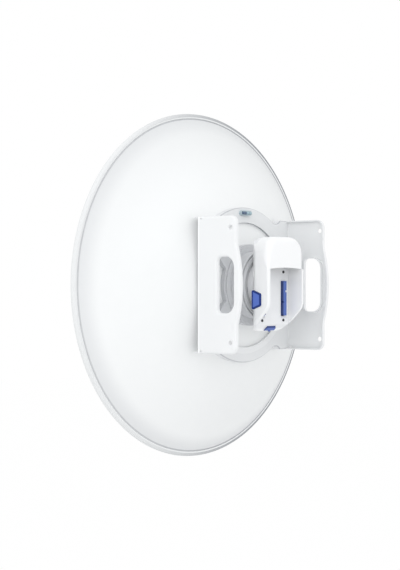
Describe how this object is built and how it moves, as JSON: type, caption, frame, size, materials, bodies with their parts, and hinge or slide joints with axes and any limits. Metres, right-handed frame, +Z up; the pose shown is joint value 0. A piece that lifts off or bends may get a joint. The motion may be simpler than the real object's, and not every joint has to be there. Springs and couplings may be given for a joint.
{
  "type": "parabolic dish antenna",
  "caption": "White parabolic dish antenna with a two-wing steel bracket and a rear snap-in bay for a radio unit with sprung blue side latches and lock rails.",
  "frame": {"origin": "midway between the four wing bolt holes, where the line through the bolts' level crosses the middle plane", "axes": "+Y along the boresight, out of the bowl; +Z up; +X across, from the left wing to the right wing seen from behind"},
  "size_m": [0.65, 0.2773, 0.65],
  "materials": {
    "powder_coat_aluminium": "satin",
    "powder_coat_steel": "satin",
    "cast_white": "satin",
    "steel": "satin",
    "bare_aluminium": "satin",
    "board": "matte",
    "brass": "satin",
    "white_plastic": "satin",
    "black_rubber": "matte",
    "grey_silicone": "matte",
    "white_gloss": "gloss",
    "blue_plastic": "satin",
    "grey_plastic": "satin",
    "vial_liquid": "gloss"
  },
  "bodies": {
    "dish": {"bay_housing": "white_gloss", "bay_screws": "steel", "bracket_bolts": "steel", "bracket_standoffs": "steel", "clamp_ring": "cast_white", "connector_block": "grey_plastic", "feed_board": "board", "feed_dielectric": "white_plastic", "feed_probes": "brass", "feed_radome": "white_plastic", "feed_screws": "steel", "feed_tube": "bare_aluminium", "front_cover": "white_gloss", "front_shell": "white_gloss", "hub_bolts": "steel", "hub_casting": "cast_white", "hub_nuts": "steel", "lead_grommets": "black_rubber", "left_lead": "black_rubber", "level_clip": "grey_plastic", "level_vial": "vial_liquid", "lock_spring": "steel", "mounting_bracket": "powder_coat_steel", "neck": "cast_white", "neck_gasket": "grey_silicone", "neck_screws": "steel", "radome_seal": "black_rubber", "reflector_shell": "powder_coat_aluminium", "rf_sockets": "brass", "right_lead": "black_rubber", "sub_reflector": "bare_aluminium"},
    "left_latch": {"left_latch": "blue_plastic"},
    "right_latch": {"right_latch": "blue_plastic"},
    "bay_lock": {"lock_slider": "blue_plastic", "left_rail": "blue_plastic", "right_rail": "blue_plastic"}
  },
  "joints": [
    {"name": "left_latch_press", "type": "slide", "parent": "dish", "child": "left_latch", "axis": [1, 0, 0], "range_m": [0, 0.003], "stiffness_N_per_m": 900, "springref_m": -0.001},
    {"name": "right_latch_press", "type": "slide", "parent": "dish", "child": "right_latch", "axis": [-1, 0, 0], "range_m": [0, 0.003], "stiffness_N_per_m": 900, "springref_m": -0.001},
    {"name": "bay_lock_pull", "type": "slide", "parent": "dish", "child": "bay_lock", "axis": [0, 0, -1], "range_m": [0, 0.004], "stiffness_N_per_m": 600, "springref_m": -0.002, "deforming": ["lock_spring"]}
  ]
}
